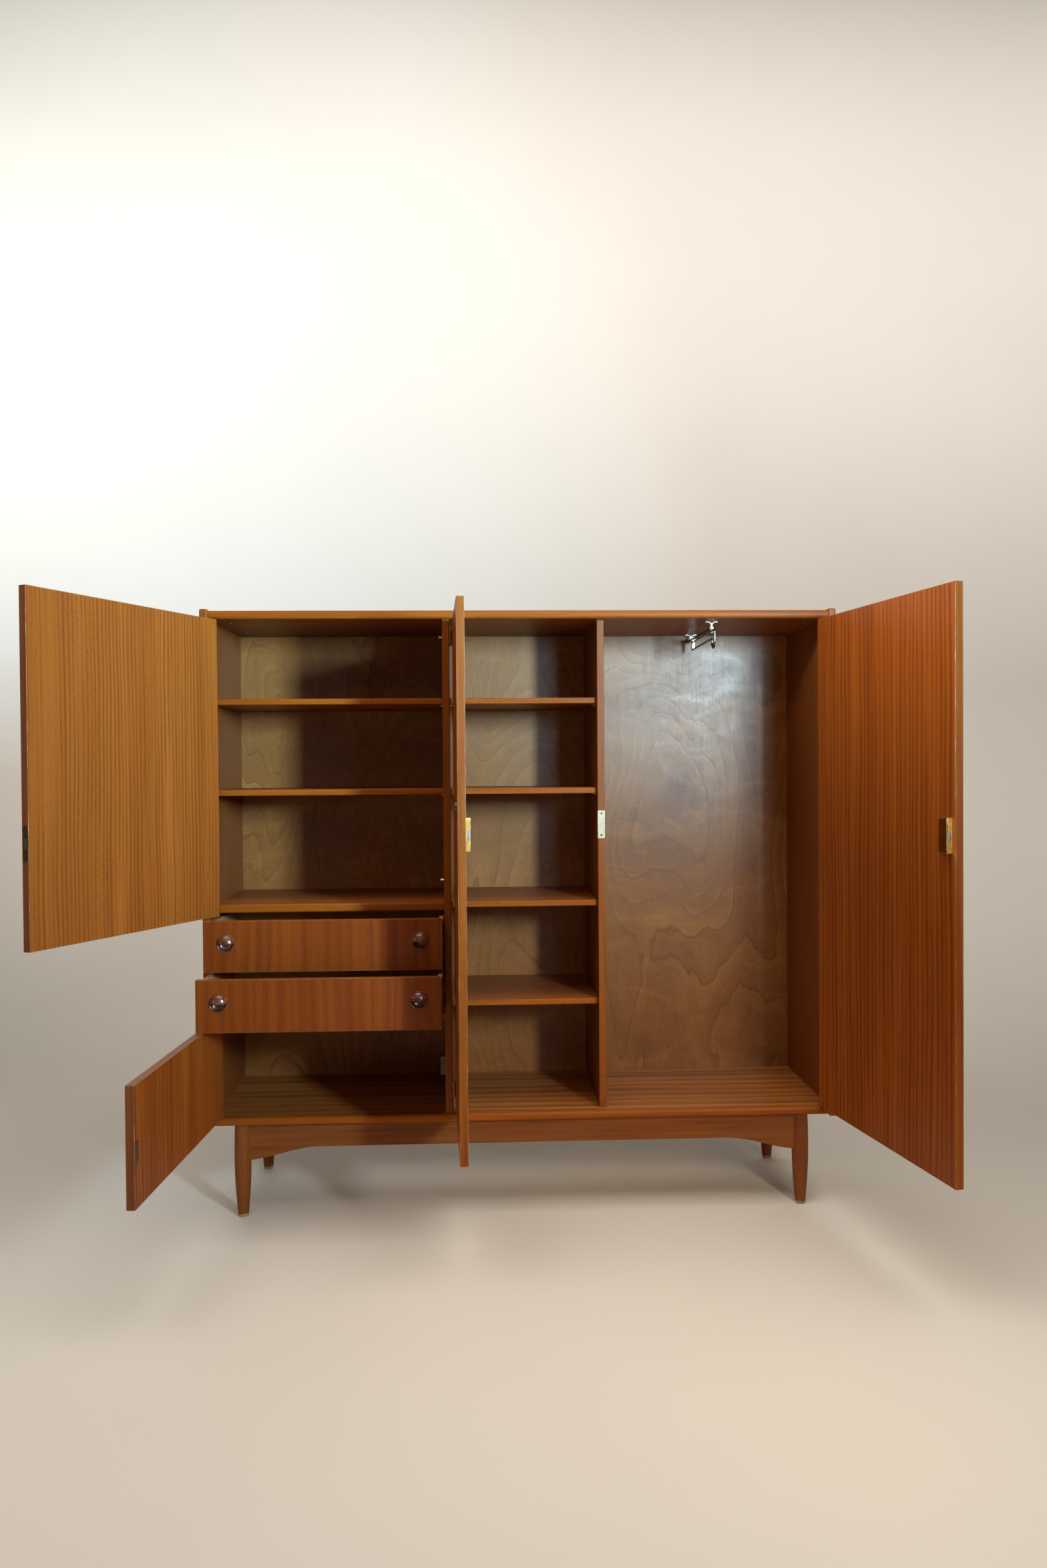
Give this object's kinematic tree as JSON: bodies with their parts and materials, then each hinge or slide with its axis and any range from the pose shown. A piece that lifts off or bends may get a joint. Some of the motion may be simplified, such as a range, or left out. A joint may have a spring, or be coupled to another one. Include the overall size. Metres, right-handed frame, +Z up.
{
  "type": "wardrobe",
  "caption": "Tall teak wardrobe on turned legs with hinged doors, shelves, hooded-pull drawers and a pull-out valet rail.",
  "frame": {"origin": "on the floor, centred between the four feet and under the middle of the carcass", "axes": "+X to the right seen from the front, +Y from front to back, +Z up"},
  "size_m": [2.0845, 1.0607, 1.674],
  "materials": {
    "teak_carcass": "oiled teak veneer, satin",
    "teak_shelf": "oiled teak veneer, satin",
    "plywood": "rotary-cut plywood, satin",
    "teak_door": "striped teak veneer, satin",
    "teak_drawer": "teak veneer, satin",
    "drawer_wood": "plain pale hardwood",
    "leg_wood": "turned teak, satin",
    "rosewood": "polished dark hardwood",
    "brass": "aged brass",
    "bolt_steel": "brushed",
    "zinc": "zinc plated",
    "rail_steel": "dark bronze steel",
    "rail_chrome": "worn chrome",
    "cap_plastic": "matt brown"
  },
  "bodies": {
    "carcass": {"left_side": "teak_carcass", "right_side": "teak_carcass", "top_panel": "teak_carcass", "bottom_panel": "teak_carcass", "left_divider": "teak_carcass", "right_divider": "teak_carcass", "back_panel": "plywood", "fixed_shelf": "teak_carcass", "drawer_floor": "teak_carcass", "left_shelf_upper": "teak_shelf", "left_shelf_lower": "teak_shelf", "middle_shelf_1": "teak_shelf", "middle_shelf_2": "teak_shelf", "middle_shelf_3": "teak_shelf", "middle_shelf_4": "teak_shelf", "shelf_pins": "brass", "drawer_runners": "drawer_wood", "panel_fitting_caps": "cap_plastic", "door_stops": "brass", "magnet_catch": "zinc", "strike_plate": "zinc", "leg_front_left": "leg_wood", "leg_front_right": "leg_wood", "leg_rear_left": "leg_wood", "leg_rear_right": "leg_wood", "front_apron": "leg_wood", "rear_apron": "leg_wood", "side_aprons": "leg_wood", "corner_blocks": "drawer_wood", "carcass_hinge_leaves": "brass", "hinge_pins": "brass", "valet_guide": "rail_steel"},
    "left_upper_door": {"left_upper_door": "teak_door", "left_upper_door_leaves": "brass", "left_upper_door_pull": "rosewood", "left_upper_lock": "brass"},
    "left_upper_bolt": {"left_upper_lock_bolt": "bolt_steel"},
    "left_lower_door": {"left_lower_door": "teak_door", "left_lower_door_leaves": "brass", "left_lower_door_pull": "rosewood", "catch_plate": "zinc"},
    "middle_door": {"middle_door": "teak_door", "middle_door_leaves": "brass", "middle_door_pull": "rosewood", "middle_lock": "brass"},
    "middle_bolt": {"middle_lock_bolt": "bolt_steel"},
    "right_door": {"right_door": "teak_door", "right_door_leaves": "brass", "right_door_pull": "rosewood", "right_lock": "brass"},
    "right_bolt": {"right_lock_bolt": "bolt_steel"},
    "upper_drawer": {"upper_drawer_front": "teak_drawer", "upper_drawer_box": "drawer_wood", "upper_drawer_bottom": "plywood", "upper_drawer_pulls": "rosewood"},
    "lower_drawer": {"lower_drawer_front": "teak_drawer", "lower_drawer_box": "drawer_wood", "lower_drawer_bottom": "plywood", "lower_drawer_pulls": "rosewood"},
    "valet_slide": {"valet_slide": "rail_chrome"}
  },
  "joints": [
    {"name": "left_upper_hinge", "type": "hinge", "parent": "carcass", "child": "left_upper_door", "pos_m": [-0.8489, -0.2121, 0.7], "axis": [0, 0, -1], "range_deg": [-116.1, 8.9]},
    {"name": "left_lower_hinge", "type": "hinge", "parent": "carcass", "child": "left_lower_door", "pos_m": [-0.8489, -0.2121, 0.42], "axis": [0, 0, -1], "range_deg": [-93.8, 31.2]},
    {"name": "middle_hinge", "type": "hinge", "parent": "carcass", "child": "middle_door", "pos_m": [-0.1939, -0.2121, 0.7], "axis": [0, 0, -1], "range_deg": [-87.3, 4.7]},
    {"name": "right_hinge", "type": "hinge", "parent": "carcass", "child": "right_door", "pos_m": [0.8489, -0.2121, 0.7], "axis": [0, 0, 1], "range_deg": [-100.4, 24.6]},
    {"name": "left_upper_bolt_throw", "type": "slide", "parent": "left_upper_door", "child": "left_upper_bolt", "axis": [-0.4399, -0.898, 0], "range_m": [0, 0.008]},
    {"name": "middle_bolt_throw", "type": "slide", "parent": "middle_door", "child": "middle_bolt", "axis": [0.0471, -0.9989, 0], "range_m": [0, 0.009]},
    {"name": "right_bolt_throw", "type": "slide", "parent": "right_door", "child": "right_bolt", "axis": [0.1805, -0.9836, 0], "range_m": [0, 0.009]},
    {"name": "upper_drawer_slide", "type": "slide", "parent": "carcass", "child": "upper_drawer", "axis": [0, -1, 0], "range_m": [-0.1, 0.2]},
    {"name": "lower_drawer_slide", "type": "slide", "parent": "carcass", "child": "lower_drawer", "axis": [0, -1, 0], "range_m": [-0.187, 0.113]},
    {"name": "valet_rail_slide", "type": "slide", "parent": "carcass", "child": "valet_slide", "axis": [0, -1, 0], "range_m": [0, 0.245]}
  ]
}
